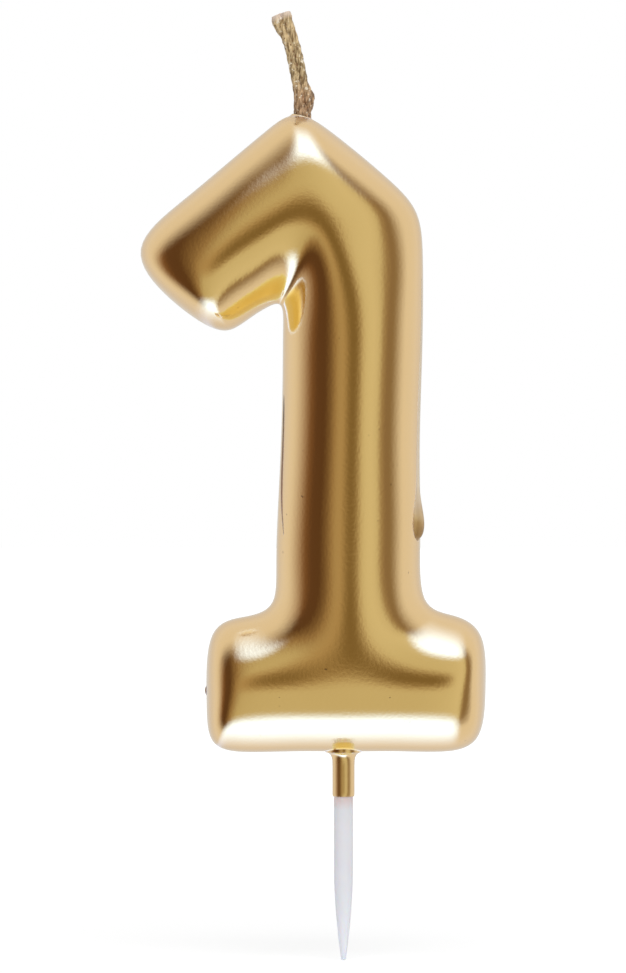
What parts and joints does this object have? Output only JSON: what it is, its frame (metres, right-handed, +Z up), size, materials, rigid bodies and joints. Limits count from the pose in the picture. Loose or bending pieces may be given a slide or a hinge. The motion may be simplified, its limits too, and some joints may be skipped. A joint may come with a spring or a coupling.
{
  "type": "number candle",
  "caption": "Cast wax candle in the shape of the figure 1 under gold lacquer, with a plaited wick and a plastic pick that pushes into a cake.",
  "frame": {"origin": "on the axis of the pick, at the edge of the lacquer where its bare stretch begins: the top of the cake comes to here", "axes": "+Z up along the pick, +X to the right of the number seen from its front, which faces -Y"},
  "size_m": [0.038, 0.0136, 0.1046],
  "materials": {
    "wax": "satin",
    "gold_lacquer": "gloss",
    "pick_plastic": "satin",
    "wick_cotton": "matte"
  },
  "bodies": {
    "root": {"wax_body": "wax", "gold_coat": "gold_lacquer", "pick": "pick_plastic", "wick_strand_1": "wick_cotton", "wick_strand_2": "wick_cotton", "wick_strand_3": "wick_cotton"}
  },
  "joints": []
}
